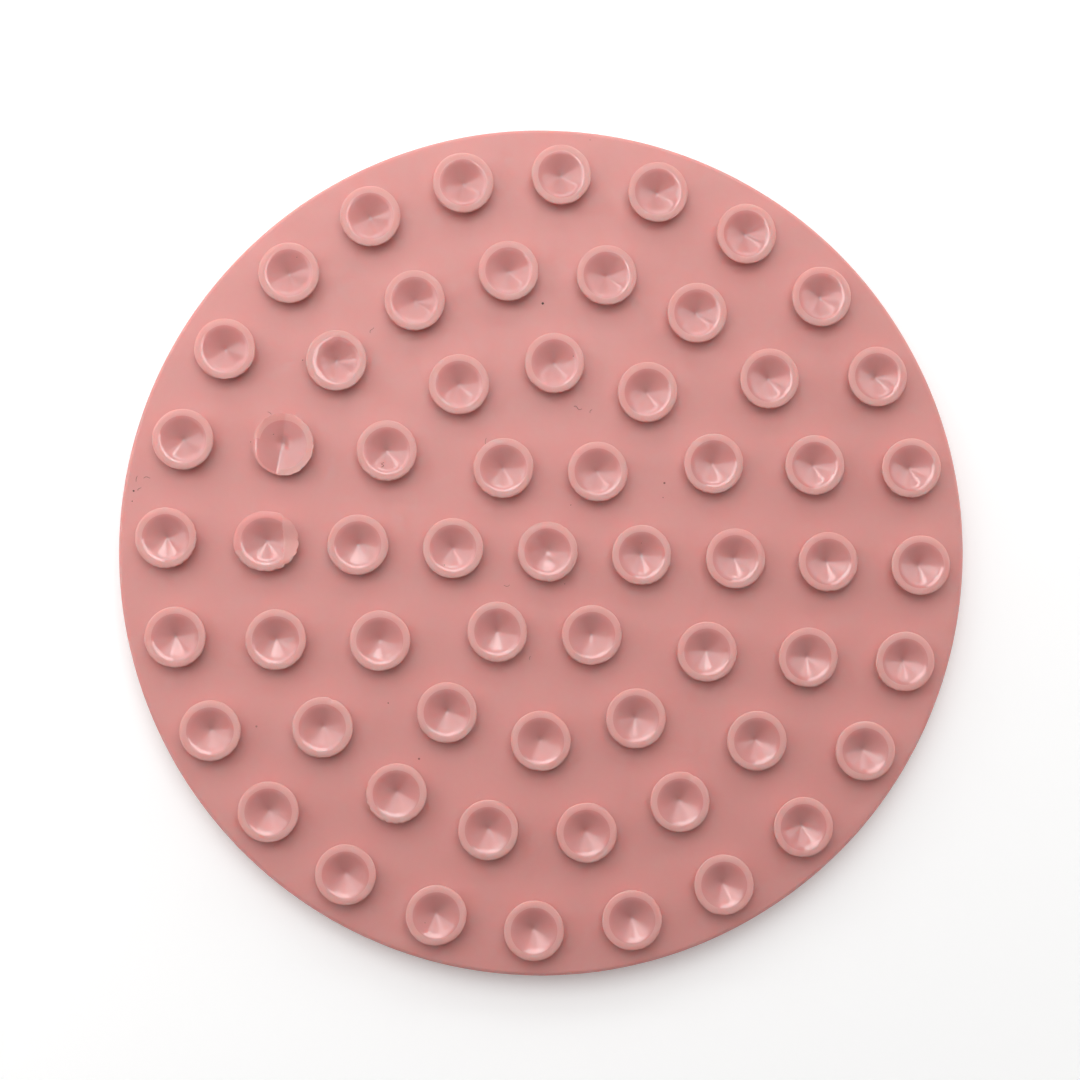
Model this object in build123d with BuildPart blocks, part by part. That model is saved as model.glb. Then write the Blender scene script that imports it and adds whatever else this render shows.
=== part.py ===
"""Round silicone cleansing mat: suction cups on one face, cleansing bristles on the other.

The mat lies on the tips of its bristles with its suction cups facing up. The origin is the
centre of that base, +Z is the axis of the disc, and +X runs along a spoke of cups.
Everything is in millimetres.
"""
from build123d import *
import os

os.makedirs("parts", exist_ok=True)

# Disc
MAT_DIAMETER = 240.0
MAT_THICKNESS = 3.0
MAT_EDGE_ROUNDING = 1.3

# Cups: one in the middle, then rings of 6, 12, 18 and 24 that all start on +X
CUP_RINGS = 4
CUPS_PER_SPOKE_STEP = 6
CUP_PITCH = 26.5
CUP_RADIUS = 8.4
MOUTH_RADIUS = 6.6
CUP_HEIGHT = 6.0
CONE_DEPTH = 3.66
CUP_WALL = 1.8  # upright distance between the cone and the underside
NECK_RADIUS = 3.0
NECK_ROOT_FILLET = 0.6
LIP_ROUNDING = 0.5
FLEX_GAP = 0.1  # between the skirt, which stretches, and the lip, which travels

# Bristles: one in the middle, then rings of 6, 12, 18 and so on, four rings to each cup pitch
BRISTLE_LENGTH = 8.0
BRISTLE_ROOT_RADIUS = 1.3
BRISTLE_TIP_RADIUS = 0.8
BRISTLE_PITCH = CUP_PITCH / 4
BRISTLE_RINGS = 17
BEARING_RINGS = (5, 11, 17)  # rings whose bristles on the six spokes carry the weight
SPOKES = 6

# Levels above the base
MAT_BOTTOM = BRISTLE_LENGTH
MAT_TOP = MAT_BOTTOM + MAT_THICKNESS
CUP_TOP = MAT_TOP + CUP_HEIGHT
CONE_SLOPE = CONE_DEPTH / MOUTH_RADIUS


def cone_level(radius):
    """Height of the cup's inner cone at a distance from the cup's axis."""
    return CUP_TOP - CONE_DEPTH + CONE_SLOPE * radius


def underside_level(radius):
    """Height of the cup's underside at a distance from the cup's axis."""
    return cone_level(radius) - CUP_WALL


# ---- the disc ----------------------------------------------------------------------------------

with BuildPart() as mat_disc:
    with BuildSketch(Plane.XY.offset(MAT_BOTTOM)):
        Circle(MAT_DIAMETER / 2)
    extrude(amount=MAT_THICKNESS)
    fillet(mat_disc.edges().filter_by(GeomType.CIRCLE), radius=MAT_EDGE_ROUNDING)

mat_disc.part.label = "mat_disc"
export_step(mat_disc.part, "parts/mat_disc.step")

# ---- one suction cup, in the three regions that behave differently -------------------------------

with BuildPart() as cup_neck:
    with BuildSketch(Plane.XZ):
        with BuildLine():
            Polyline(
                (NECK_RADIUS, MAT_TOP + NECK_ROOT_FILLET),
                (NECK_RADIUS, cone_level(NECK_RADIUS)),
                (0, cone_level(0)),
                (0, MAT_TOP),
                (NECK_RADIUS + NECK_ROOT_FILLET, MAT_TOP),
            )
            RadiusArc(
                (NECK_RADIUS + NECK_ROOT_FILLET, MAT_TOP),
                (NECK_RADIUS, MAT_TOP + NECK_ROOT_FILLET),
                NECK_ROOT_FILLET,
            )
        make_face()
    revolve(axis=Axis.Z)

with BuildPart() as cup_skirt:
    with BuildSketch(Plane.XZ):
        skirt_edge = MOUTH_RADIUS - FLEX_GAP
        with BuildLine():
            Polyline(
                (NECK_RADIUS, underside_level(NECK_RADIUS)),
                (skirt_edge, underside_level(skirt_edge)),
                (skirt_edge, cone_level(skirt_edge)),
                (NECK_RADIUS, cone_level(NECK_RADIUS)),
                close=True,
            )
        make_face()
    revolve(axis=Axis.Z)

with BuildPart() as cup_lip:
    with BuildSketch(Plane.XZ):
        with BuildLine():
            Polyline(
                (CUP_RADIUS, CUP_TOP - LIP_ROUNDING),
                (CUP_RADIUS, underside_level(CUP_RADIUS)),
                (MOUTH_RADIUS, underside_level(MOUTH_RADIUS)),
                (MOUTH_RADIUS, CUP_TOP),
                (CUP_RADIUS - LIP_ROUNDING, CUP_TOP),
            )
            RadiusArc(
                (CUP_RADIUS - LIP_ROUNDING, CUP_TOP),
                (CUP_RADIUS, CUP_TOP - LIP_ROUNDING),
                LIP_ROUNDING,
            )
        make_face()
    revolve(axis=Axis.Z)

CUP_REGIONS = {"cup_neck": cup_neck, "cup_skirt": cup_skirt, "cup_lip": cup_lip}

for region, piece in CUP_REGIONS.items():
    piece.part.label = f"{region}_centre"
    export_step(piece.part, f"parts/{region}_centre.step")

    for ring in range(1, CUP_RINGS + 1):
        with BuildPart() as cup_ring:
            with PolarLocations(ring * CUP_PITCH, ring * CUPS_PER_SPOKE_STEP):
                add(piece.part)

        cup_ring.part.label = f"{region}s_ring_{ring}"
        export_step(cup_ring.part, f"parts/{region}s_ring_{ring}.step")

# ---- one bristle, pointing down, with a round tip on the base ------------------------------------

with BuildPart() as bristle:
    with BuildSketch(Plane.XZ):
        with BuildLine():
            Polyline(
                (BRISTLE_TIP_RADIUS, BRISTLE_TIP_RADIUS),
                (BRISTLE_ROOT_RADIUS, MAT_BOTTOM),
                (0, MAT_BOTTOM),
                (0, 0),
            )
            RadiusArc((0, 0), (BRISTLE_TIP_RADIUS, BRISTLE_TIP_RADIUS), -BRISTLE_TIP_RADIUS)
        make_face()
    revolve(axis=Axis.Z)

bristle.part.label = "bristle_centre"
export_step(bristle.part, "parts/bristle_centre.step")

# The six bearing bristles of a ring stand on the spokes, apart from the rest of the ring
with BuildPart() as bearing_bristles:
    for ring in BEARING_RINGS:
        with PolarLocations(ring * BRISTLE_PITCH, SPOKES):
            add(bristle.part)

bearing_bristles.part.label = "bristles_bearing"
export_step(bearing_bristles.part, "parts/bristles_bearing.step")

for ring in range(1, BRISTLE_RINGS + 1):
    places = PolarLocations(ring * BRISTLE_PITCH, ring * SPOKES).locations
    if ring in BEARING_RINGS:
        places = [place for step, place in enumerate(places) if step % ring]
    with BuildPart() as bristle_ring:
        with Locations(*places):
            add(bristle.part)

    bristle_ring.part.label = f"bristles_ring_{ring:02d}"
    export_step(bristle_ring.part, f"parts/bristles_ring_{ring:02d}.step")
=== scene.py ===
"""Looks of the round silicone cleansing mat: suction cups above, bristles below.

Lengths are in metres, in the row frame: origin on the base, +Z out of the cups, +X along a spoke.
"""
import math

import bpy
import numpy as np
from mathutils import Matrix, Vector


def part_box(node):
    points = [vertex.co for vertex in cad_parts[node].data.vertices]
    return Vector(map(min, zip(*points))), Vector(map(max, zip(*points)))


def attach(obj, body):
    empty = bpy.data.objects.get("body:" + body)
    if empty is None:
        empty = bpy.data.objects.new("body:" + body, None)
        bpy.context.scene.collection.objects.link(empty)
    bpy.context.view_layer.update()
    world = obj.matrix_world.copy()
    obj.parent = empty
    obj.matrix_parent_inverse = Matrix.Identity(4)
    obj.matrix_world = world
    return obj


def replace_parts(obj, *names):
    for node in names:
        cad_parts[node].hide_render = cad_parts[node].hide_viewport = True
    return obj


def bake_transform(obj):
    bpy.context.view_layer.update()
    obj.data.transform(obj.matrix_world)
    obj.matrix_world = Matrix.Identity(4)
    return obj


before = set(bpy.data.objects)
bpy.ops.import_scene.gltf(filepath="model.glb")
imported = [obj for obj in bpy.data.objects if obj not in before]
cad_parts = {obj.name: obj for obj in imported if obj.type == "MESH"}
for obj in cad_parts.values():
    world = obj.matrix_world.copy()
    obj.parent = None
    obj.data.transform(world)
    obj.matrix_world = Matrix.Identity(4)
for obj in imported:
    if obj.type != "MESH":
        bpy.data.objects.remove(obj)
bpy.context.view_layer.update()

MM = 0.001
RANDOM = np.random.default_rng(61)

# ---- sizes read from the frame ------------------------------------------------------------------

MAT_LOW, MAT_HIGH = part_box("mat_disc")
MAT_RADIUS = MAT_HIGH.x
MAT_TOP = MAT_HIGH.z
MAT_BOTTOM = MAT_LOW.z
CUP_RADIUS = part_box("cup_lip_centre")[1].x
CUP_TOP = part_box("cup_lip_centre")[1].z
CUP_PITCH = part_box("cup_lips_ring_1")[1].x - CUP_RADIUS
CUP_RINGS = 4
PER_RING_STEP = 6
BRISTLE_ROOT_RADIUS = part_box("bristle_centre")[1].x
BRISTLE_RINGS = 17
BRISTLE_PITCH = CUP_PITCH / 4

# ---- sizes of the moulding's finer shape --------------------------------------------------------

EDGE_ROUNDING = 1.3 * MM
NECK_RADIUS = 3.0 * MM
NECK_HEIGHT = 2.2 * MM
LIP_HEIGHT = CUP_TOP - MAT_TOP
LIP_EDGE = 0.80 * MM
RIM_FALL = 0.30 * MM
RIM_SLOPE = math.tan(math.radians(12.5))
RIM_ROLL = 3.4 * MM
CONE_SLOPE = 3.66 / 6.6
CONE_DEPTH = 3.48 * MM
CUP_ROOT_FLARE = 1.2 * MM
ROOT_SINK = 0.05 * MM
BRISTLE_TIP_RADIUS = 0.8 * MM
BRISTLE_ROOT_FLARE = 0.6 * MM
BRISTLE_ROOT_SINK = 0.02 * MM
BRISTLE_LEAN = 0.12 * MM

CUP_SEGMENTS = 102
MAT_SEGMENTS = 360
BRISTLE_SEGMENTS = 12


# ---- outlines -----------------------------------------------------------------------------------

ON_AXIS = 1e-9
THREAD_POINTS = 15


def rounded_path(corners, arc_steps=6):
    """Points of a polyline whose inner corners are rounded. A corner is (r, z, radius, tag); each point
    is (r, z, tag), with the tag of the stretch that ends there."""
    path = [(corners[0][0], corners[0][1], corners[0][3])]
    for before, here, after in zip(corners, corners[1:], corners[2:]):
        p, a, b = (Vector(c[:2]) for c in (here, before, after))
        to_a, to_b = (a - p).normalized(), (b - p).normalized()
        half_turn = to_a.angle(to_b) / 2
        reach = here[2] / math.tan(half_turn)
        centre = p + (to_a + to_b).normalized() * (here[2] / math.sin(half_turn))
        start, end = p + to_a * reach - centre, p + to_b * reach - centre
        sweep = start.angle_signed(end)
        for step in range(arc_steps + 1):
            angle = -sweep * step / arc_steps
            c, s = math.cos(angle), math.sin(angle)
            q = centre + Vector((start.x * c - start.y * s, start.x * s + start.y * c))
            path.append((q.x, q.y, here[3] if step <= arc_steps / 2 else after[3]))
    path.append((corners[-1][0], corners[-1][1], corners[-1][3]))
    return path


def divided(path, longest):
    """The same path with long stretches cut into pieces no longer than longest."""
    cut = [path[0]]
    for (r0, z0, _), (r1, z1, tag) in zip(path, path[1:]):
        pieces = max(1, math.ceil(math.hypot(r1 - r0, z1 - z0) / longest))
        for n in range(1, pieces + 1):
            t = n / pieces
            cut.append((r0 + (r1 - r0) * t, z0 + (z1 - z0) * t, tag))
    return cut


def turned(path, segments):
    """Vertices, faces and face tags of a path turned about Z. A point on the axis is one vertex."""
    angles = np.arange(segments) * 2 * math.pi / segments
    points, rows, faces, tags = [], [], [], []
    for r, z, _ in path:
        if r < ON_AXIS:
            rows.append([len(points)] * segments)
            points.append((0.0, 0.0, z))
        else:
            rows.append(list(range(len(points), len(points) + segments)))
            points += [(r * math.cos(a), r * math.sin(a), z) for a in angles]
    for (low, high), (_, _, tag) in zip(zip(rows, rows[1:]), path[1:]):
        for n in range(segments):
            m = (n + 1) % segments
            corners = [low[n], low[m], high[m], high[n]]
            faces.append(tuple(dict.fromkeys(corners)))
            tags.append(tag)
    return np.array(points), faces, tags


def mesh_piece(name, points, faces, tags, materials):
    """A smooth-shaded mesh object whose face tags are indices into its materials."""
    mesh = bpy.data.meshes.new(name)
    mesh.from_pydata([tuple(p) for p in points], [], faces)
    for material in materials:
        mesh.materials.append(material)
    mesh.polygons.foreach_set("material_index", np.array(tags, np.int32))
    mesh.polygons.foreach_set("use_smooth", np.ones(len(faces), bool))
    mesh.update()
    mesh.validate()
    piece = bpy.data.objects.new(name, mesh)
    bpy.context.scene.collection.objects.link(piece)
    return piece


def smooth(x):
    """An even S-shaped step from 0 at zero to 1 at one."""
    x = np.clip(x, 0, 1)
    return x * x * (3 - 2 * x)


def ramp(x, corner):
    """0 below zero and x above it, with a corner rounded over this width."""
    return (x + np.sqrt(x * x + corner * corner)) / 2


def bell(x, width):
    """1 at zero, falling off to either side over this width."""
    return np.exp(-((x / width) ** 2))


def thread(path, thickness):
    """Points and faces of a thin four-sided thread along a path."""
    path = [Vector(p) for p in path]
    points, faces = [], []
    for n, here in enumerate(path):
        along = (path[min(n + 1, len(path) - 1)] - path[max(n - 1, 0)]).normalized()
        side = along.cross(Vector((0, 0, 1))).normalized() * thickness / 2
        up = side.cross(along)
        points += [here + side, here + up, here - side, here - up]
        if n:
            low, high = 4 * (n - 1), 4 * n
            faces += [(low + k, low + (k + 1) % 4, high + (k + 1) % 4, high + k) for k in range(4)]
    faces += [(3, 2, 1, 0), tuple(len(points) - 4 + k for k in range(4))]
    return np.array(points), faces


def crumb(place, size):
    """Points and faces of a small lump."""
    points = np.array([(1, 0, 0), (0, 1, 0), (-1, 0, 0), (0, -1, 0), (0, 0, 0.7), (0, 0, -0.7)], float)
    faces = [(k, (k + 1) % 4, 4) for k in range(4)] + [((k + 1) % 4, k, 5) for k in range(4)]
    return points * size / 2 + np.array(place), faces


class Heap:
    """Collects the points, faces and tags of several shapes for one piece."""

    def __init__(self):
        self.points, self.faces, self.tags, self.count = [], [], [], 0

    def add(self, points, faces, tags):
        """tags is a list with one entry for each face, or one number for all of them."""
        self.faces += [tuple(v + self.count for v in face) for face in faces]
        self.tags += tags if isinstance(tags, list) else [tags] * len(faces)
        self.points.append(points)
        self.count += len(points)

    def piece(self, name, materials):
        return mesh_piece(name, np.vstack(self.points), self.faces, self.tags, materials)


# ---- the gentle unevenness of a soft sheet that lies on its bristles ----------------------------

SAG_DEPTH = 0.30 * MM
SAG_SOFTNESS = 2.2
# Heading, length and phase of each wave
SAG_WAVES = [
    (RANDOM.uniform(0, 2 * math.pi), RANDOM.uniform(45, 120) * MM, RANDOM.uniform(0, 2 * math.pi))
    for _ in range(7)
]


def sag(x, y):
    """How far below its true level the sheet lies at a point, from 0 to SAG_DEPTH."""
    total = np.zeros_like(np.asarray(x, float))
    for heading, length, phase in SAG_WAVES:
        along = x * math.cos(heading) + y * math.sin(heading)
        total += np.sin(2 * math.pi * along / length + phase)
    return SAG_DEPTH * (0.5 + 0.5 * np.tanh(total / SAG_SOFTNESS))


# ---- materials ----------------------------------------------------------------------------------

def silicone(
    name,
    colour,
    deep,
    roughness,
    grain,
    grain_size,
    mottling=0.5,
    specks=False,
    ior=1.42,
    shine=0.5,
    scatter=3.0 * MM,
):
    """Soft moulded silicone. deep is the colour of its cloudier patches and mottling how strong they are,
    grain is the height of its bumps and grain_size the width of one. specks adds fine dark dust. scatter is
    how far red light travels below the surface."""
    material = bpy.data.materials.new(name)
    material.use_nodes = True
    nodes, links = material.node_tree.nodes, material.node_tree.links
    shader = nodes["Principled BSDF"]
    place = nodes.new("ShaderNodeTexCoord")

    # Colour: faint clouds
    clouds = nodes.new("ShaderNodeTexNoise")
    clouds.inputs["Scale"].default_value = 38
    clouds.inputs["Detail"].default_value = 5
    clouds.inputs["Roughness"].default_value = 0.62
    links.new(place.outputs["Object"], clouds.inputs["Vector"])
    spread = nodes.new("ShaderNodeMapRange")
    spread.inputs["From Min"].default_value = 0.32
    spread.inputs["From Max"].default_value = 0.68
    spread.inputs["To Max"].default_value = mottling
    links.new(clouds.outputs["Fac"], spread.inputs["Value"])
    tint = nodes.new("ShaderNodeMix")
    tint.data_type = "RGBA"
    tint.inputs["A"].default_value = (*colour, 1)
    tint.inputs["B"].default_value = (*deep, 1)
    links.new(spread.outputs["Result"], tint.inputs["Factor"])
    base = tint.outputs["Result"]

    # Dust: a dot in the middle of some Voronoi cells
    if specks:
        cells = nodes.new("ShaderNodeTexVoronoi")
        cells.inputs["Scale"].default_value = 90
        links.new(place.outputs["Object"], cells.inputs["Vector"])
        near = nodes.new("ShaderNodeMapRange")
        near.inputs["From Min"].default_value = 0.018
        near.inputs["From Max"].default_value = 0.034
        near.inputs["To Min"].default_value = 1
        near.inputs["To Max"].default_value = 0
        links.new(cells.outputs["Distance"], near.inputs["Value"])
        some = nodes.new("ShaderNodeSeparateColor")
        links.new(cells.outputs["Color"], some.inputs["Color"])
        few = nodes.new("ShaderNodeMapRange")
        few.inputs["From Min"].default_value = 0.62
        few.inputs["From Max"].default_value = 1.0
        links.new(some.outputs["Red"], few.inputs["Value"])
        amount = nodes.new("ShaderNodeMath")
        amount.operation = "MULTIPLY"
        links.new(near.outputs["Result"], amount.inputs[0])
        links.new(few.outputs["Result"], amount.inputs[1])
        dirt = nodes.new("ShaderNodeMix")
        dirt.data_type = "RGBA"
        dirt.inputs["B"].default_value = (*SPECK_DARK, 1)
        links.new(amount.outputs["Value"], dirt.inputs["Factor"])
        links.new(base, dirt.inputs["A"])
        base = dirt.outputs["Result"]
    links.new(base, shader.inputs["Base Color"])

    # Gloss: a little uneven
    sheen_spots = nodes.new("ShaderNodeTexNoise")
    sheen_spots.inputs["Scale"].default_value = 210
    sheen_spots.inputs["Detail"].default_value = 3
    links.new(place.outputs["Object"], sheen_spots.inputs["Vector"])
    dull = nodes.new("ShaderNodeMapRange")
    dull.inputs["From Min"].default_value = 0.3
    dull.inputs["From Max"].default_value = 0.7
    dull.inputs["To Min"].default_value = roughness * 0.85
    dull.inputs["To Max"].default_value = roughness * 1.12
    links.new(sheen_spots.outputs["Fac"], dull.inputs["Value"])
    links.new(dull.outputs["Result"], shader.inputs["Roughness"])

    # Grain: fine bumps
    grains = nodes.new("ShaderNodeTexNoise")
    grains.inputs["Scale"].default_value = 1 / grain_size
    grains.inputs["Detail"].default_value = 2
    links.new(place.outputs["Object"], grains.inputs["Vector"])
    bump = nodes.new("ShaderNodeBump")
    bump.inputs["Strength"].default_value = 1
    bump.inputs["Distance"].default_value = grain
    links.new(grains.outputs["Fac"], bump.inputs["Height"])
    links.new(bump.outputs["Normal"], shader.inputs["Normal"])

    shader.inputs["IOR"].default_value = ior
    shader.inputs["Specular IOR Level"].default_value = shine
    shader.inputs["Subsurface Weight"].default_value = 0.9
    shader.inputs["Subsurface Radius"].default_value = (1.0, 0.25, 0.20)
    shader.inputs["Subsurface Scale"].default_value = scatter
    return material


# Linear colours: the cup's cone, the disc and bristles, the cup's rim, and dust
PINK = (0.664, 0.323, 0.310)
PINK_DEEP = (0.648, 0.303, 0.290)
PINK_MAT = (0.712, 0.343, 0.322)
PINK_MAT_DEEP = (0.692, 0.318, 0.298)
# The rim's colour is paler than the cone's: partly the cut rim's own paler colour, partly painted light for
# the light the raised rim catches
PINK_PALE = (0.662, 0.392, 0.366)
LINT_BROWN = (0.36, 0.16, 0.15)
LINT_DARK = (0.28, 0.12, 0.11)
GRIT_DARK = (0.13, 0.06, 0.05)
GRIT_BROWN = (0.20, 0.10, 0.09)
SPECK_DARK = (0.16, 0.06, 0.05)

MAT_SKIN = silicone(
    "mat_satin",
    PINK_MAT,
    PINK_MAT_DEEP,
    roughness=0.50,
    grain=0.012 * MM,
    grain_size=0.35 * MM,
    specks=True,
    scatter=1.6 * MM,
)
CUP_SKIN = silicone(
    "cup_outside_satin",
    PINK_MAT,
    PINK_DEEP,
    roughness=0.40,
    grain=0.01 * MM,
    grain_size=0.3 * MM,
    shine=0.3,
)
CONE_SKIN = silicone(
    "cup_cone_gloss",
    PINK,
    PINK_DEEP,
    roughness=0.08,
    grain=0.001 * MM,
    grain_size=0.6 * MM,
    mottling=0.35,
    ior=1.6,
    shine=0.6,
)
RIM_SKIN = silicone(
    "cup_rim_matte",
    PINK_PALE,
    PINK_MAT,
    roughness=0.60,
    grain=0.03 * MM,
    grain_size=0.22 * MM,
    mottling=0.4,
    shine=0.4,
)
BRISTLE_SKIN = silicone(
    "bristle_satin",
    PINK_MAT,
    PINK_MAT_DEEP,
    roughness=0.48,
    grain=0.01 * MM,
    grain_size=0.3 * MM,
    scatter=1.6 * MM,
)
LINT = silicone("dust_lint", LINT_BROWN, LINT_DARK, roughness=0.7, grain=0.01 * MM, grain_size=0.2 * MM)
GRIT = silicone("dust_grit", GRIT_DARK, GRIT_BROWN, roughness=0.8, grain=0.01 * MM, grain_size=0.2 * MM)

# ---- the disc -----------------------------------------------------------------------------------

SHEET, FLUFF, SPECK = 0, 1, 2
FLUFF_THICKNESS = 0.13 * MM
SPECK_FLATNESS = 0.3

mat_path = divided(
    rounded_path(
        [
            (0, MAT_BOTTOM, 0, SHEET),
            (MAT_RADIUS, MAT_BOTTOM, EDGE_ROUNDING, SHEET),
            (MAT_RADIUS, MAT_TOP, EDGE_ROUNDING, SHEET),
            (0, MAT_TOP, 0, SHEET),
        ],
        arc_steps=8,
    ),
    longest=2 * MM,
)
points, faces, tags = turned(mat_path, MAT_SEGMENTS)
points[:, 2] -= sag(points[:, 0], points[:, 1])
sheet = Heap()
sheet.add(points, faces, tags)


def on_mat(x, y):
    """The point of the mat's top at a place."""
    return (x, y, MAT_TOP - sag(x, y))


def squiggle(x, y, length, heading, swing, bends):
    """A path on the mat that snakes this many half-waves about a straight line."""
    c, s = math.cos(math.radians(heading)), math.sin(math.radians(heading))
    path = []
    for t in np.linspace(-0.5, 0.5, THREAD_POINTS):
        along = t * length
        across = swing * math.sin(math.pi * bends * (t + 0.5))
        path.append(on_mat(x + along * c - across * s, y + along * s + across * c))
    return path


# Lint on the mat: x and y of its middle, length, heading in degrees, swing and number of bends
MAT_LINT = [
    (7.4, 41.1, 2.4, -18, 0.32, 2.2),
    (11.2, 40.3, 1.1, 60, 0.25, 1.0),
    (-10.9, -9.8, 1.6, 5, -0.42, 1.0),
    (-18.3, 30.7, 1.7, 84, 0.18, 1.0),
    (-51.7, 60.7, 1.8, 70, 0.30, 1.6),
    (-79.4, 36.1, 1.3, -30, 0.15, 1.0),
    (-3.6, -30.2, 1.0, 80, 0.15, 1.0),
    (-115.6, 16.2, 1.6, 80, 0.12, 1.0),
    (-112.8, 16.6, 1.8, 10, 0.30, 1.3),
    (-114.8, 13.4, 1.2, 55, 0.20, 1.4),
]
# Grit on the mat: x, y and size. All in mm
MAT_GRIT = [
    (-3.6, 70.4, 0.85),
    (-43.1, -44.2, 0.42),
    (-116.3, 12.8, 0.62),
    (-116.6, 9.9, 0.35),
    (6.4, 13.5, 0.34),
    (-70.7, 51.4, 0.36),
    (-84.3, 27.8, 0.34),
    (5.5, -8.9, 0.28),
    (32.6, 16.6, 0.30),
]
for x, y, length, heading, swing, bends in MAT_LINT:
    path = squiggle(x * MM, y * MM, length * MM, heading, swing * MM, bends)
    sheet.add(*thread(path, FLUFF_THICKNESS), FLUFF)
for x, y, size in MAT_GRIT:
    place = on_mat(x * MM, y * MM)
    points, faces = crumb(place, size * MM)
    points[:, 2] = place[2] + (points[:, 2] - place[2]) * SPECK_FLATNESS
    sheet.add(points, faces, SPECK)
mat = sheet.piece("mat_sheet", [MAT_SKIN, LINT, GRIT])
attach(mat, "mat")
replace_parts(mat, "mat_disc")

# ---- the suction cups ---------------------------------------------------------------------------

# Face tags, in the order of a cup's materials. KEEP leaves a face's tag as it is
OUTSIDE, RIM, CONE, DUST = 0, 1, 2, 3
KEEP = -1

# The rim falls outward and the cone falls inward; their lines meet at this ridge, which is then rounded
ridge_radius = (CONE_DEPTH - RIM_FALL + RIM_SLOPE * CUP_RADIUS) / (CONE_SLOPE + RIM_SLOPE)
ridge_height = LIP_HEIGHT - CONE_DEPTH + CONE_SLOPE * ridge_radius
cup_path = divided(
    rounded_path(
        [
            (NECK_RADIUS + CUP_ROOT_FLARE, -ROOT_SINK, 0, OUTSIDE),
            (NECK_RADIUS, -ROOT_SINK, 0.8 * MM, OUTSIDE),
            (NECK_RADIUS, NECK_HEIGHT, 0.9 * MM, OUTSIDE),
            (CUP_RADIUS, LIP_HEIGHT - LIP_EDGE, 0.20 * MM, OUTSIDE),
            (CUP_RADIUS, LIP_HEIGHT - RIM_FALL, 0.25 * MM, RIM),
            (ridge_radius, ridge_height, RIM_ROLL, RIM),
            (0, LIP_HEIGHT - CONE_DEPTH, 0, CONE),
        ],
        arc_steps=4,
    ),
    longest=0.8 * MM,
)
CUP_POINTS, CUP_FACES, CUP_TAGS = turned(cup_path, CUP_SEGMENTS)
TOP_PATH = np.array([(r, z) for r, z, tag in reversed(cup_path) if tag != OUTSIDE])


def top_level(reach):
    """Height of the cup's top surface at a distance from its axis."""
    return np.interp(reach, TOP_PATH[:, 0], TOP_PATH[:, 1])


CUP_TURN = np.arctan2(CUP_POINTS[:, 1], CUP_POINTS[:, 0])
CUP_REACH = np.hypot(CUP_POINTS[:, 0], CUP_POINTS[:, 1])
ON_TOP = CUP_POINTS[:, 2] > top_level(CUP_REACH) - 0.5 * MM
# How much a point moves when the cup is bent: all the way on top, not at all at the neck
FLARE_HEIGHT = 2.2 * MM
BENDS = np.where(ON_TOP, 1.0, smooth((CUP_POINTS[:, 2] - NECK_HEIGHT) / FLARE_HEIGHT))
# How far up the cup a point is, from 0 at the top of the neck to 1 at the lip
HEADWARD = smooth((CUP_POINTS[:, 2] - NECK_HEIGHT) / (LIP_HEIGHT - NECK_HEIGHT))

# The functions below take points of a cup, seen from the camera with x to the right and y up the picture,
# with the cup's axis at 0. Each returns how far the points move in x, y and z.
VIEW_TURN = math.radians(2.1)
CREASE_X = 4.4 * MM
CREASE_SLANT = 0.04


def book_fold(x, y):
    """Folded along a line up the picture, with a steep page on its left and a flatter one on its right."""
    tilt = math.radians(8.8)
    across = x * math.cos(tilt) - y * math.sin(tilt) + 0.6 * MM
    along = x * math.sin(tilt) + y * math.cos(tilt)
    reach = np.hypot(x, y)
    pages = 0.46 * ramp(-across, 0.15 * MM) + 0.30 * ramp(across, 0.15 * MM)
    rise = 0.16 * (np.sqrt(along**2 + (3.0 * MM) ** 2) - 3.0 * MM)
    hollow = -1.05 * MM * bell(np.hypot(x + 0.1 * MM, y - 0.5 * MM), 1.5 * MM)
    level = LIP_HEIGHT - 3.1 * MM + pages + rise + hollow
    return 0.0 * x, 0.04 * y * smooth(reach / CUP_RADIUS), 0.9 * (level - top_level(reach))


def bent_edge(x, y):
    """The cup pulled to the right, with a crescent of its right edge bent down along a straight crease.
    Points near the crease move onto it, so that it is a clean line."""
    crease_x = CREASE_X - CREASE_SLANT * y
    beyond = ramp(x - crease_x, 0.12 * MM)
    level = top_level(np.hypot(crease_x, y)) - 0.10 * beyond
    lowered = (level - top_level(np.hypot(x, y))) * smooth((x - crease_x) / (0.3 * MM))
    valley = -0.10 * MM * bell(x - 3.7 * MM, 0.8 * MM) * bell(y, 5.0 * MM)
    onto_crease = (crease_x - x) * np.clip(1 - np.abs(x - crease_x) / (0.9 * MM), 0, 1)
    return 1.1 * MM + 0.07 * x + onto_crease, 0.0 * y, lowered + valley


def curled_wall(x, y):
    """The left wall curled up into a C-shaped ridge."""
    leftward = smooth((np.cos(np.arctan2(y, x) - math.radians(172)) + 0.25) / 0.85)
    ridge = 0.40 * MM * bell(np.hypot(x, y) - 4.6 * MM, 1.3 * MM)
    return 0.0 * x, 0.0 * y, leftward * ridge


def soft_bottom(size):
    """The cone's point rounded off to this radius."""

    def moves(x, y):
        reach = np.hypot(x, y)
        return 0.0 * x, 0.0 * y, CONE_SLOPE * (np.sqrt(reach**2 + size**2) - reach)

    return moves


def crease(x0, y0, x1, y1, depth):
    """A shallow straight crease between two points."""

    def moves(x, y):
        run = np.array((x1 - x0, y1 - y0))
        t = np.clip(((x - x0) * run[0] + (y - y0) * run[1]) / (run @ run), 0, 1)
        away = np.hypot(x - x0 - t * run[0], y - y0 - t * run[1])
        return 0.0 * x, 0.0 * y, -depth * bell(away, 0.45 * MM)

    return moves


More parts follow.
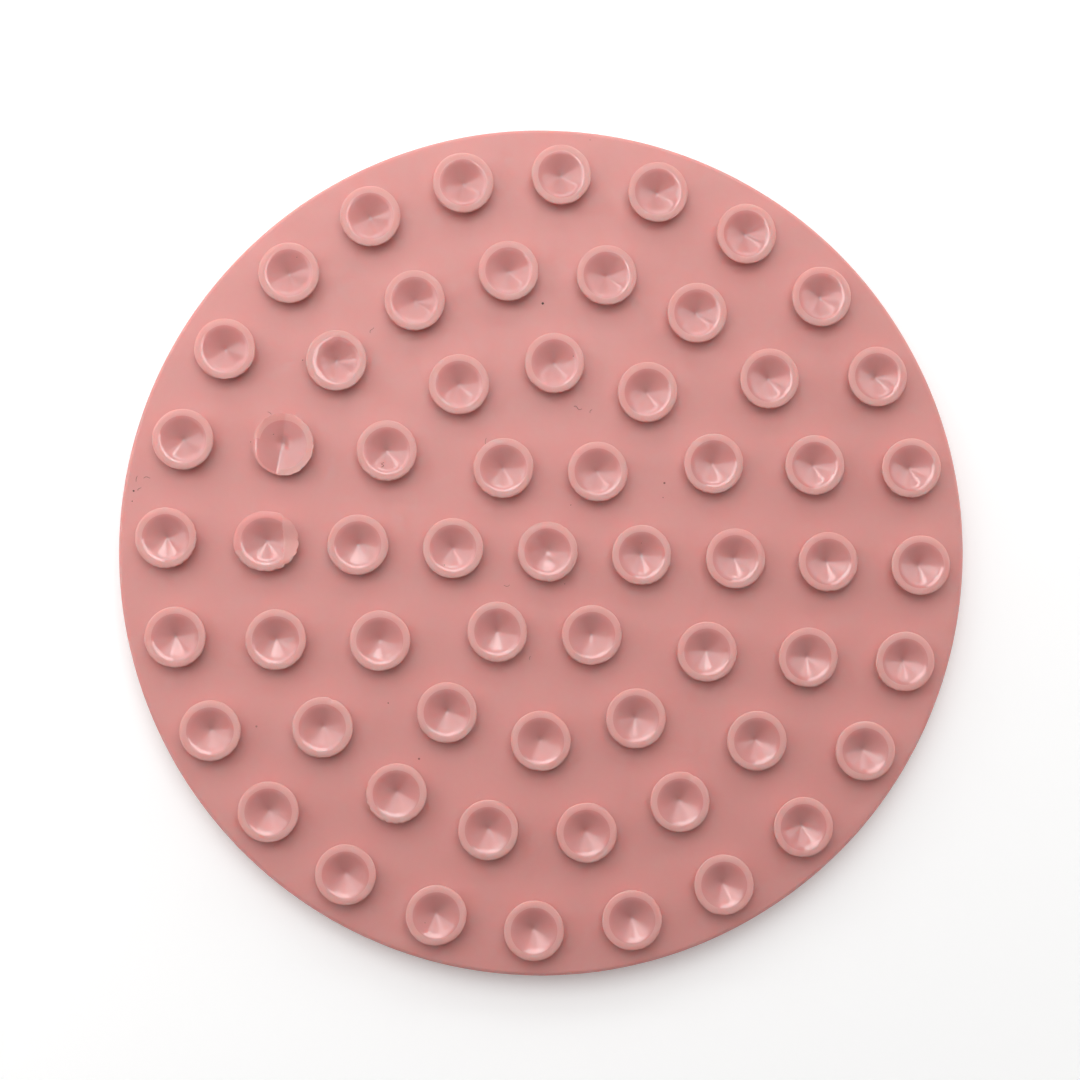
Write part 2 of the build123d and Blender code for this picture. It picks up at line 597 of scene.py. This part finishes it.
def nick(turn):
    """A small notch in the rim at this angle from the right of the picture, in degrees."""

    def moves(x, y):
        off = np.abs((np.degrees(np.arctan2(y, x)) - turn + 180) % 360 - 180)
        size = bell(off, 4.5) * smooth((np.hypot(x, y) - 6.9 * MM) / (1.2 * MM))
        return -0.04 * x * size, -0.04 * y * size, -0.30 * MM * size

    return moves


# By ring and place in the ring, counted from +X
BENT_CUPS = {
    (0, 0): [soft_bottom(1.5 * MM)],
    (2, 5): [soft_bottom(0.3 * MM)],
    (2, 7): [soft_bottom(0.8 * MM), crease(0.9 * MM, -4.3 * MM, 5.2 * MM, -2.5 * MM, 0.16 * MM)],
    (3, 7): [curled_wall],
    (3, 8): [book_fold],
    (3, 9): [bent_edge, soft_bottom(0.5 * MM)],
    (3, 11): [nick(70)],
    (3, 15): [nick(62)],
    (4, 8): [crease(-1.2 * MM, -4.6 * MM, 3.0 * MM, -3.9 * MM, 0.05 * MM)],
}


# The next two functions give a face tag for each place on a cup's top, or KEEP. The tags paint light and
# shade by giving faces the colour of the rim, cone or outside
def folded_rim_painted_shade(x, y):
    """On the folded cup, the lower left rim gets the darker cone colour as painted shade, and its outer
    edge the outside colour.
    """
    lower_left = (x < -1.2 * MM) & (y < 1.5 * MM)
    return np.where(lower_left, np.where(np.hypot(x, y) < 7.9 * MM, CONE, OUTSIDE), KEEP)


def crescent(x, y):
    """On the cup with the bent edge, the crescent gets the pale rim colour as painted light, and the rim
    above it gets the darker outside colour as painted shade.
    """
    beyond = x > CREASE_X - CREASE_SLANT * y
    rim_above = ~beyond & (y > -2.5 * MM) & (np.hypot(x, y) > ridge_radius - 0.1 * MM)
    return np.where(beyond, RIM, np.where(rim_above, OUTSIDE, KEEP))


# Cups whose rim, cone and outside colours are swapped to paint light and shade
LIGHT_AND_SHADE_PAINTED_CUPS = {(3, 8): folded_rim_painted_shade, (3, 9): crescent}
# A hair lies in this cup
HAIR_CUP = (2, 5)
HAIR_THICKNESS = 0.15 * MM
# Dust on a rim stays this far below the lip's top
GRIT_ROOM = 0.15 * MM
# Grit in a cup: x, y and size in mm, seen as above
CUP_GRIT = {
    (1, 0): [(0.0, 3.4, 0.26)],
    (1, 3): [(-2.4, -4.7, 0.34)],
    (2, 3): [(5.3, 1.9, 0.34)],
    (3, 8): [(-2.8, 2.8, 0.36), (-7.4, 1.2, 0.32)],
    (4, 9): [(2.2, 4.4, 0.30)],
    (4, 17): [(-3.1, -2.2, 0.28)],
}


def to_view(x, y, sign=1):
    """A direction of the frame as the camera sees it, or the other way round with sign -1."""
    c, s = math.cos(VIEW_TURN), sign * math.sin(VIEW_TURN)
    return x * c + y * s, -x * s + y * c


# How uneven the cups are. Wobble, flutes and the range of the crumbly edge's depth are in mm, the lean is a
# slope, and the side that is crumbly has a mean and a spread in radians
OVAL_SPREAD = 0.006
WOBBLE_SPREAD = 0.030
CRUMBLE_DEPTH = (0.04, 0.22)
CRUMBLE_SIDE = (-1.4, 0.9)
TOOTH_SPREAD = 0.5
TOOTH_MAX = 1.5
FLUTE_SPREAD = 0.0006
LEAN_SPREAD = 0.006


def waves_round(angle, wave_counts, spread):
    """A sum of waves round the cup, each with a random height and turn."""
    total = np.zeros_like(angle)
    for count in wave_counts:
        total += RANDOM.normal(0, spread(count)) * np.cos(count * angle + RANDOM.uniform(0, 2 * math.pi))
    return total


def one_cup(centre, faults):
    """The points of one cup, with the small unevenness that a soft moulded cup has and its own faults."""
    p = CUP_POINTS.copy()
    angle, radius = CUP_TURN, CUP_REACH
    # The shape changes most at the rim, and crumbles only at its very edge
    rimward = HEADWARD * smooth((radius - 0.75 * CUP_RADIUS) / (0.25 * CUP_RADIUS))
    edgeward = HEADWARD * smooth((radius / CUP_RADIUS - 0.93) / 0.06)

    oval, oval_turn = RANDOM.normal(0, OVAL_SPREAD), RANDOM.uniform(0, math.pi)
    stretch = 1 + HEADWARD * oval * np.cos(2 * (angle - oval_turn))
    wobble = waves_round(angle, (3, 5, 7, 11), lambda count: WOBBLE_SPREAD / count**0.5) * MM
    # The cut edge of the rim is crumbly on one side, most often the lower one
    crumbly = RANDOM.uniform(*CRUMBLE_DEPTH) * MM
    crumbly = crumbly * smooth(0.6 + 0.5 * np.cos(angle - RANDOM.normal(*CRUMBLE_SIDE)))
    teeth = waves_round(angle, (19, 26, 33, 41, 49), lambda count: TOOTH_SPREAD)
    new_radius = radius * stretch + rimward * wobble - edgeward * crumbly * np.clip(teeth, 0, TOOTH_MAX)
    p[:, 0], p[:, 1] = new_radius * np.cos(angle), new_radius * np.sin(angle)

    # Faint radial flutes that the mould left in the cone
    flutes = waves_round(angle, (9, 14, 23), lambda count: FLUTE_SPREAD) * MM
    in_cone = ON_TOP * smooth(radius / (0.8 * MM)) * smooth((ridge_radius - radius) / (1.5 * MM))
    p[:, 2] += in_cone * flutes

    lean_x, lean_y = RANDOM.normal(0, LEAN_SPREAD, 2)
    p[:, 2] += HEADWARD * (lean_x * p[:, 0] + lean_y * p[:, 1] - (abs(lean_x) + abs(lean_y)) * CUP_RADIUS)

    for fault in faults:
        dx, dy, dz = fault(*to_view(p[:, 0], p[:, 1]))
        dx, dy = to_view(dx, dy, -1)
        p += (BENDS * np.stack((dx, dy, dz))).T

    p[:, 2] = np.minimum(p[:, 2], LIP_HEIGHT) + MAT_TOP - sag(centre[0], centre[1])
    p[:, :2] += centre
    return p


def in_cup(centre, faults, x, y):
    """The point of a cup's top surface at a place seen from the camera."""
    z = top_level(math.hypot(x, y)) + sum(fault(x, y)[2] for fault in faults)
    z = min(z, LIP_HEIGHT - GRIT_ROOM)
    x, y = to_view(x, y, -1)
    return (centre[0] + x, centre[1] + y, z + MAT_TOP - sag(centre[0], centre[1]))


def cup_tags(place):
    """The face tags of a cup. On a few cups, light and shade are painted on top by swapping the colours of
    rim, cone and outside.
    """
    if place not in LIGHT_AND_SHADE_PAINTED_CUPS:
        return CUP_TAGS
    middles = np.array([CUP_POINTS[list(face)].mean(axis=0) for face in CUP_FACES])
    wanted = LIGHT_AND_SHADE_PAINTED_CUPS[place](*to_view(middles[:, 0], middles[:, 1]))
    return [
        tag if tag == OUTSIDE or new_tag == KEEP else int(new_tag)
        for tag, new_tag in zip(CUP_TAGS, wanted)
    ]


def cup_ring(ring):
    """One piece with every cup of a ring."""
    count = max(1, PER_RING_STEP * ring)
    heap = Heap()
    for n in range(count):
        turn = 2 * math.pi * n / count
        centre = np.array((math.cos(turn), math.sin(turn))) * ring * CUP_PITCH
        faults = BENT_CUPS.get((ring, n), [])
        heap.add(one_cup(centre, faults), CUP_FACES, cup_tags((ring, n)))
        for x, y, size in CUP_GRIT.get((ring, n), []):
            heap.add(*crumb(in_cup(centre, faults, x * MM, y * MM), size * MM), DUST)
        if (ring, n) == HAIR_CUP:
            hair = [
                in_cup(centre, faults, (-1.2 + 0.32 * math.sin(4.2 * t)) * MM, (-3.9 - 0.65 * t) * MM)
                for t in np.linspace(-1, 1, THREAD_POINTS)
            ]
            heap.add(*thread(hair, HAIR_THICKNESS), DUST)
    name = f"cups_ring_{ring}" if ring else "cup_centre"
    return heap.piece(name, [CUP_SKIN, RIM_SKIN, CONE_SKIN, GRIT])


for ring in range(CUP_RINGS + 1):
    cups = cup_ring(ring)
    ending = f"s_ring_{ring}" if ring else "_centre"
    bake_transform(cups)
    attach(cups, "mat")
    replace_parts(cups, f"cup_neck{ending}", f"cup_skirt{ending}", f"cup_lip{ending}")

# ---- the bristles -------------------------------------------------------------------------------

bristle_path = divided(
    rounded_path(
        [
            (0, 0, 0, 0),
            (BRISTLE_TIP_RADIUS, 0, BRISTLE_TIP_RADIUS * 0.98, 0),
            (BRISTLE_ROOT_RADIUS, MAT_BOTTOM, 0.5 * MM, 0),
            (BRISTLE_ROOT_RADIUS + BRISTLE_ROOT_FLARE, MAT_BOTTOM + BRISTLE_ROOT_SINK, 0, 0),
        ],
        arc_steps=5,
    ),
    longest=1.5 * MM,
)
BRISTLE_POINTS, BRISTLE_FACES, _ = turned(bristle_path, BRISTLE_SEGMENTS)


def bristle_piece(name, places):
    """One piece with a bristle at each place. A bristle leans a little, most at its tip."""
    points, faces = [], []
    for n, place in enumerate(places):
        p = BRISTLE_POINTS.copy()
        tipward = smooth(1 - p[:, 2] / MAT_BOTTOM)
        p[:, :2] += tipward[:, None] * RANDOM.normal(0, BRISTLE_LEAN, 2)
        p[:, 2] -= (1 - tipward) * sag(place[0], place[1])
        p[:, :2] += place
        points.append(p)
        faces += [tuple(v + n * len(p) for v in face) for face in BRISTLE_FACES]
    piece = mesh_piece(name, np.vstack(points), faces, [0] * len(faces), [BRISTLE_SKIN])
    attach(piece, "mat")
    return piece


def bristle_places(ring):
    """The places of a ring's bristles, with the first on +X."""
    count = max(1, PER_RING_STEP * ring)
    turns = 2 * math.pi * np.arange(count) / count
    return np.stack((np.cos(turns), np.sin(turns)), axis=1) * ring * BRISTLE_PITCH


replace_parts(bristle_piece("bristle_middle", bristle_places(0)), "bristle_centre")
for ring in range(1, BRISTLE_RINGS + 1):
    piece = bristle_piece(f"bristle_ring_{ring:02d}", bristle_places(ring))
    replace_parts(piece, f"bristles_ring_{ring:02d}")
    if ring == BRISTLE_RINGS:
        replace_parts(piece, "bristles_bearing")

# ---- floor, light and camera --------------------------------------------------------------------

FLOOR_RADIUS = 4.0
FLOOR_SIDES = 96
PALE = (1, 0.985, 0.975, 1)


def floor_disc():
    """A round pale floor. Away from the object it glows, so that it runs into the backdrop."""
    turns = np.linspace(0, 2 * math.pi, FLOOR_SIDES, endpoint=False)
    corners = [(FLOOR_RADIUS * math.cos(a), FLOOR_RADIUS * math.sin(a), 0) for a in turns]
    material = bpy.data.materials.new("floor_pale")
    material.use_nodes = True
    nodes, links = material.node_tree.nodes, material.node_tree.links
    shader = nodes["Principled BSDF"]
    shader.inputs["Base Color"].default_value = (0.93, 0.93, 0.93, 1)
    shader.inputs["Roughness"].default_value = 0.9
    shader.inputs["Emission Color"].default_value = PALE
    place = nodes.new("ShaderNodeTexCoord")
    distance = nodes.new("ShaderNodeVectorMath")
    distance.operation = "LENGTH"
    links.new(place.outputs["Object"], distance.inputs[0])
    glow = nodes.new("ShaderNodeMapRange")
    glow.interpolation_type = "SMOOTHSTEP"
    glow.inputs["From Min"].default_value = 0.10
    glow.inputs["From Max"].default_value = 0.9
    glow.inputs["To Min"].default_value = 0.20
    glow.inputs["To Max"].default_value = 0.90
    links.new(distance.outputs["Value"], glow.inputs["Value"])
    links.new(glow.outputs["Result"], shader.inputs["Emission Strength"])
    # Clear from below, so that the bristles can be looked at from there
    underneath = nodes.new("ShaderNodeNewGeometry")
    clear = nodes.new("ShaderNodeBsdfTransparent")
    sides = nodes.new("ShaderNodeMixShader")
    links.new(underneath.outputs["Backfacing"], sides.inputs["Fac"])
    links.new(shader.outputs["BSDF"], sides.inputs[1])
    links.new(clear.outputs["BSDF"], sides.inputs[2])
    links.new(sides.outputs["Shader"], nodes["Material Output"].inputs["Surface"])
    mesh_piece("studio_floor", corners, [tuple(range(FLOOR_SIDES))], [0], [material])


def softbox(name, place, target, width, height, radiance):
    """A rectangular area light. radiance is what a camera that looked at it would see."""
    light = bpy.data.lights.new(name, "AREA")
    light.shape = "RECTANGLE"
    light.size, light.size_y = width, height
    light.energy = radiance * math.pi * width * height
    lamp = bpy.data.objects.new(name, light)
    away = (Vector(place) - Vector(target)).normalized()
    lamp.rotation_mode = "QUATERNION"
    lamp.rotation_quaternion = away.to_track_quat("Z", "Y")
    lamp.location = place
    bpy.context.scene.collection.objects.link(lamp)


def studio_world():
    """A backdrop that is pale to the camera. What it lights the object with is brightest near the horizon
    and dimmer above it and on the -Y side."""
    world = bpy.data.worlds.new("studio")
    bpy.context.scene.world = world
    world.use_nodes = True
    nodes, links = world.node_tree.nodes, world.node_tree.links
    background = nodes["Background"]
    background.inputs["Color"].default_value = PALE
    place = nodes.new("ShaderNodeTexCoord")
    parts = nodes.new("ShaderNodeSeparateXYZ")
    links.new(place.outputs["Generated"], parts.inputs["Vector"])
    height = nodes.new("ShaderNodeMapRange")
    height.interpolation_type = "SMOOTHSTEP"
    height.inputs["From Min"].default_value = 0.10
    height.inputs["From Max"].default_value = 0.50
    height.inputs["To Min"].default_value = 0.75
    height.inputs["To Max"].default_value = 0.10
    links.new(parts.outputs["Z"], height.inputs["Value"])
    side = nodes.new("ShaderNodeMapRange")
    side.inputs["From Min"].default_value = -0.8
    side.inputs["From Max"].default_value = 0.2
    side.inputs["To Min"].default_value = 0.45
    side.inputs["To Max"].default_value = 0.95
    links.new(parts.outputs["Y"], side.inputs["Value"])
    strength = nodes.new("ShaderNodeMath")
    strength.operation = "MULTIPLY"
    links.new(height.outputs["Result"], strength.inputs[0])
    links.new(side.outputs["Result"], strength.inputs[1])
    path = nodes.new("ShaderNodeLightPath")
    seen = nodes.new("ShaderNodeMix")
    seen.inputs["B"].default_value = 0.98
    links.new(path.outputs["Is Camera Ray"], seen.inputs["Factor"])
    links.new(strength.outputs["Value"], seen.inputs["A"])
    links.new(seen.outputs["Result"], background.inputs["Strength"])


floor_disc()
studio_world()

CENTRE = Vector((0, 0, CUP_TOP))


def on_dome(left_of_y, elevation, distance):
    """A point seen from the mat at an angle to the left of +Y and a height angle, in degrees."""
    a, e = math.radians(90 + left_of_y), math.radians(elevation)
    return distance * Vector((math.cos(a) * math.cos(e), math.sin(a) * math.cos(e), math.sin(e)))


# Boxes near the object: degrees left of +Y, elevation in degrees, distance, width, height and radiance
NEAR_BOXES = {
    "overhead": (0, 72, 0.70, 0.42, 0.42, 3.9),
    "key": (46, 64, 0.70, 0.40, 0.40, 1.3),
    "left_side": (65, 45, 0.70, 0.45, 0.42, 1.5),
    "left_low": (85, 18, 0.80, 0.50, 0.35, 1.2),
    "right_low": (-65, 18, 0.80, 0.80, 0.35, 1.1),
}
for name, (left_of_y, elevation, distance, width, height, radiance) in NEAR_BOXES.items():
    softbox(name, on_dome(left_of_y, elevation, distance), CENTRE, width, height, radiance)

# An upright wall of light on the far side, which the cones mirror: a bright bar with a dimmer panel below
# and one above. Left and right end in metres, lower and upper edge in degrees, and radiance
WALL_Y = 1.6
WALL_PARTS = {
    "bar_left": (-1.9, -0.4, 35, 40, 3.8),
    "bar_middle": (-0.4, 0.5, 35, 40, 5.0),
    "bar_right": (0.5, 1.6, 35, 40, 2.1),
    "panel_low": (-1.4, 1.2, 24, 35, 0.85),
    "panel_high": (-1.4, 1.2, 40, 52, 1.2),
}
for name, (left, right, low, high, radiance) in WALL_PARTS.items():
    z0, z1 = (WALL_Y * math.tan(math.radians(edge)) for edge in (low, high))
    middle = Vector(((left + right) / 2, WALL_Y, (z0 + z1) / 2))
    softbox(name, middle, middle - Vector((0, 1, 0)), right - left, z1 - z0, radiance)

# The camera looks down on the cups from a little left of the middle. Its place is given from the middle
# of the plane of the cup rims
CAMERA_PLACE = Vector((-27.41, -3.26, 478.4)) * MM
CAMERA_TILT_X = math.radians(-0.66)
CAMERA_TILT_Y = math.radians(3.03)
CAMERA_ROLL = math.radians(-2.07)
camera_data = bpy.data.cameras.new("camera")
camera_data.sensor_width = 36.0
camera_data.lens = 57.1
camera_data.clip_start = 0.01
camera_data.clip_end = 50
camera = bpy.data.objects.new("camera", camera_data)
bpy.context.scene.collection.objects.link(camera)
tilt = Matrix.Rotation(CAMERA_TILT_X, 3, "X") @ Matrix.Rotation(CAMERA_TILT_Y, 3, "Y")
turn = (tilt @ Matrix.Rotation(CAMERA_ROLL, 3, "Z")).transposed()
camera.matrix_world = Matrix.Translation(CAMERA_PLACE + CENTRE) @ turn.to_4x4()
bpy.context.scene.camera = camera

bpy.context.scene.view_settings.view_transform = "Standard"
